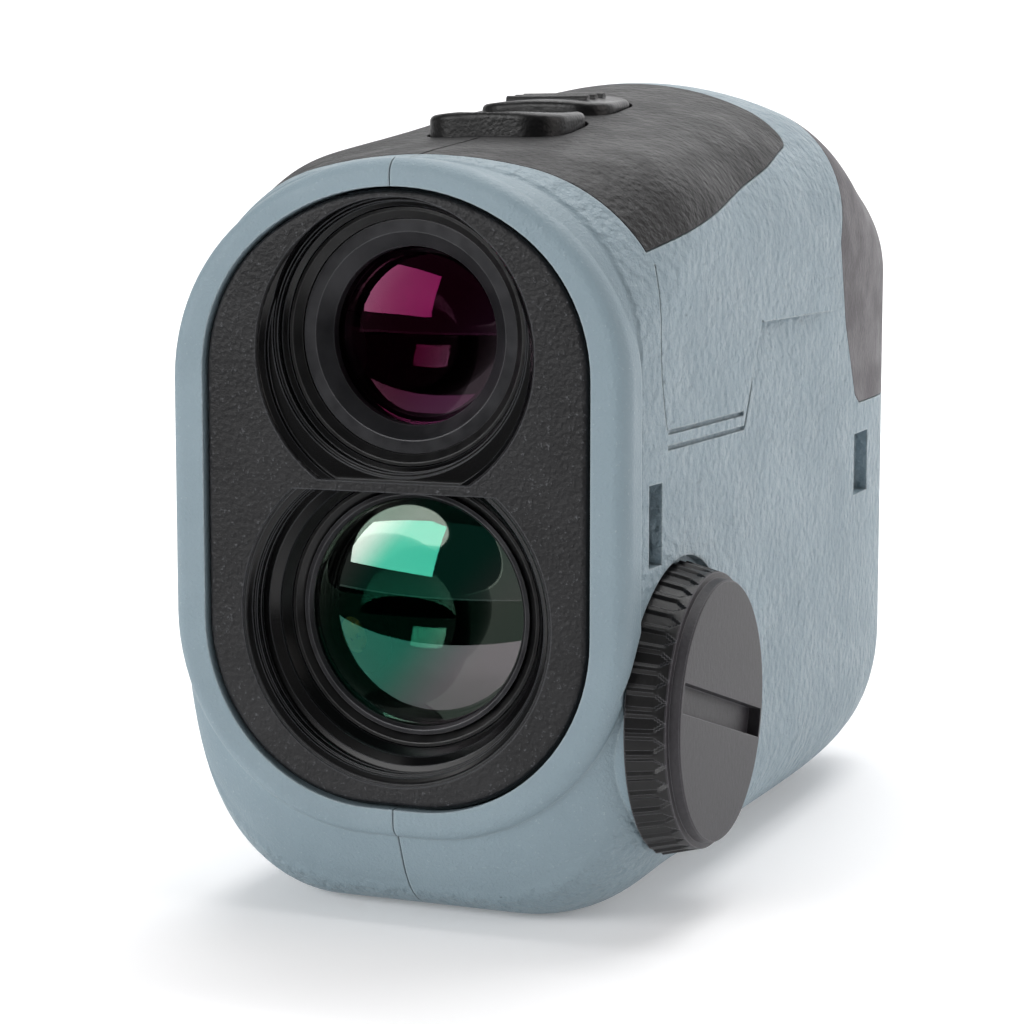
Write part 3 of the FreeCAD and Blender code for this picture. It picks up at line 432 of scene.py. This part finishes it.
def slot_cutter(middle):
    """Prism for the coin slot, with rounded ends."""
    outline = []
    for side in (1, -1):
        for step in range(-4, 5):
            z = SLOT_HALF * step / 4 * side
            outline.append((side * math.sqrt(SLOT_END ** 2 - z ** 2), z))
    lean, rise = math.cos(SLOT_TILT), math.sin(SLOT_TILT)
    turned = [(y * lean - z * rise, y * rise + z * lean) for y, z in outline]
    vertices = [(x, middle.y + y, middle.z + z) for x in (SLOT_FLOOR, SLOT_OPEN) for y, z in turned]
    count = len(turned)
    faces = [tuple(range(count))[::-1], tuple(range(count, 2 * count))]
    faces += [(n, (n + 1) % count, (n + 1) % count + count, n + count) for n in range(count)]
    mesh = bpy.data.meshes.new("slot_cutter")
    mesh.from_pydata(vertices, [], faces)
    cutter = bpy.data.objects.new("slot_cutter", mesh)
    scene.collection.objects.link(cutter)
    return cutter


def cap_mesh(middle):
    """The ribbed cap before its slot is cut, closed at the plug's hollow and at the face."""
    around = RIBS * RIB_STEPS
    vertices, faces = [], []
    for step in range(around):
        angle = 2 * math.pi * step / around
        for radius, x in cap_profile(step / around):
            reach = radius * MM
            vertices.append((x * MM, middle.y + reach * math.cos(angle), middle.z + reach * math.sin(angle)))
    length = len(vertices) // around
    for step in range(around):
        here, there = step * length, (step + 1) % around * length
        for n in range(length - 1):
            faces.append((here + n, here + n + 1, there + n + 1, there + n))
    faces.append(tuple(step * length for step in range(around)))
    faces.append(tuple(step * length + length - 1 for step in range(around))[::-1])
    mesh = bpy.data.meshes.new("coin_cap")
    mesh.from_pydata(vertices, [], faces)
    work = bmesh.new()
    work.from_mesh(mesh)
    bmesh.ops.recalc_face_normals(work, faces=work.faces)
    work.to_mesh(mesh)
    work.free()
    return mesh


def coin_cap():
    """Finely ribbed battery cap with a coin slot, in place of the plain CAD one."""
    low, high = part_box("battery_cap")
    middle = (low + high) / 2
    cap = bpy.data.objects.new("coin_cap", cap_mesh(middle))
    scene.collection.objects.link(cap)
    cutter = slot_cutter(middle)
    cut = cap.modifiers.new("slot", "BOOLEAN")
    cut.object = cutter
    cut.solver = "EXACT"
    bpy.context.view_layer.update()
    finished = bpy.data.meshes.new_from_object(cap.evaluated_get(bpy.context.evaluated_depsgraph_get()))
    cap.modifiers.remove(cut)
    cap.data = finished
    bpy.data.objects.remove(cutter)
    finished.materials.clear()
    finished.materials.append(materials["cap_plastic"])
    finished.shade_smooth()
    finished.set_sharp_from_angle(angle=math.radians(28))
    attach(cap, "battery_cap")
    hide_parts("battery_cap")


coin_cap()


# ---------------------------------------------------------------- studio
def sweep():
    """Seamless white backdrop: a floor that curves up behind the object."""
    half, front, back, bend, top = 3.0, -3.0, 1.1, 0.7, 2.6
    profile = [(front, 0.0), (back, 0.0)]
    for step in range(1, 25):
        turn = math.radians(90 * step / 24)
        profile.append((back + bend * math.sin(turn), bend - bend * math.cos(turn)))
    profile.append((back + bend, top))
    vertices = [(side * half, y, z) for y, z in profile for side in (-1, 1)]
    faces = [(2 * n, 2 * n + 1, 2 * n + 3, 2 * n + 2) for n in range(len(profile) - 1)]
    mesh = bpy.data.meshes.new("studio_sweep")
    mesh.from_pydata(vertices, [], faces)
    mesh.shade_smooth()
    paper = bpy.data.objects.new("studio_sweep", mesh)
    scene.collection.objects.link(paper)
    g = Graph("studio_sweep")
    mesh.materials.append(g.finish(srgb(244, 244, 245), g.ramp(g.noise(0.2), 0.3, 0.7, 0.6, 0.7),
                                   Specular_IOR_Level=0.1))
    g.shader.inputs["Emission Color"].default_value = (1.0, 1.0, 1.0, 1.0)
    g.shader.inputs["Emission Strength"].default_value = 0.16


def flag():
    """Black card lying in front of the object, which only the glossy surfaces see."""
    near, far, half, lift = -0.105, -1.4, 1.2, 0.0005
    mesh = bpy.data.meshes.new("studio_flag")
    corners = [(-half, far, lift), (half, far, lift), (half, near, lift), (-half, near, lift)]
    mesh.from_pydata(corners, [], [(0, 1, 2, 3)])
    card = bpy.data.objects.new("studio_flag", mesh)
    scene.collection.objects.link(card)
    g = Graph("studio_flag")
    rough = g.ramp(g.noise(0.2), 0.3, 0.7, 0.8, 0.9)
    mesh.materials.append(g.finish(srgb(3, 3, 3), rough, Specular_IOR_Level=0.0))
    card.visible_camera = False
    card.visible_diffuse = False
    card.visible_shadow = False


def softbox(name, place, target, width, height, watts, colour):
    data = bpy.data.lights.new(name, "AREA")
    data.shape = "RECTANGLE"
    data.size = width
    data.size_y = height
    data.energy = watts
    data.color = colour
    light = bpy.data.objects.new(name, data)
    scene.collection.objects.link(light)
    light.location = place
    light.rotation_euler = (Vector(target) - Vector(place)).to_track_quat("-Z", "Y").to_euler()


# name, place, target, width, height, watts, colour
MIDDLE = (0.0, -0.02, 0.035)
LIGHTS = [
    ("key", (-0.53, -0.80, 0.38), MIDDLE, 0.80, 0.42, 6.5, (1, 1, 1)),
    ("side", (1.15, 0.1, 0.5), MIDDLE, 0.8, 0.6, 4.0, (1.0, 0.93, 0.91)),
    ("top", (0.0, 0.25, 1.15), MIDDLE, 1.0, 1.0, 9.0, (1, 1, 1)),
    ("paper", (0.0, 0.6, 1.6), (0.0, 1.8, 0.8), 1.6, 0.5, 30.0, (1, 1, 1)),
]
WORLD_STRENGTH = 0.15
CAMERA_PLACE = Vector((102.3, -262.1, 67.3)) * MM
CAMERA_AIM = Vector((-0.418, 1.0, -0.134))
FOCAL_LENGTH = 96.3
SENSOR = 36.0


def studio():
    sweep()
    flag()
    for light in LIGHTS:
        softbox(*light)
    world = bpy.data.worlds.new("studio")
    world.use_nodes = True
    background = world.node_tree.nodes["Background"]
    background.inputs["Color"].default_value = rgba((1.0, 1.0, 1.0))
    background.inputs["Strength"].default_value = WORLD_STRENGTH
    scene.world = world
    scene.view_settings.view_transform = "Standard"


def camera():
    data = bpy.data.cameras.new("camera")
    data.lens = FOCAL_LENGTH
    data.sensor_width = SENSOR
    data.clip_start = 0.01
    eye = bpy.data.objects.new("camera", data)
    scene.collection.objects.link(eye)
    eye.location = CAMERA_PLACE
    eye.rotation_euler = CAMERA_AIM.to_track_quat("-Z", "Y").to_euler()
    scene.camera = eye


studio()
camera()
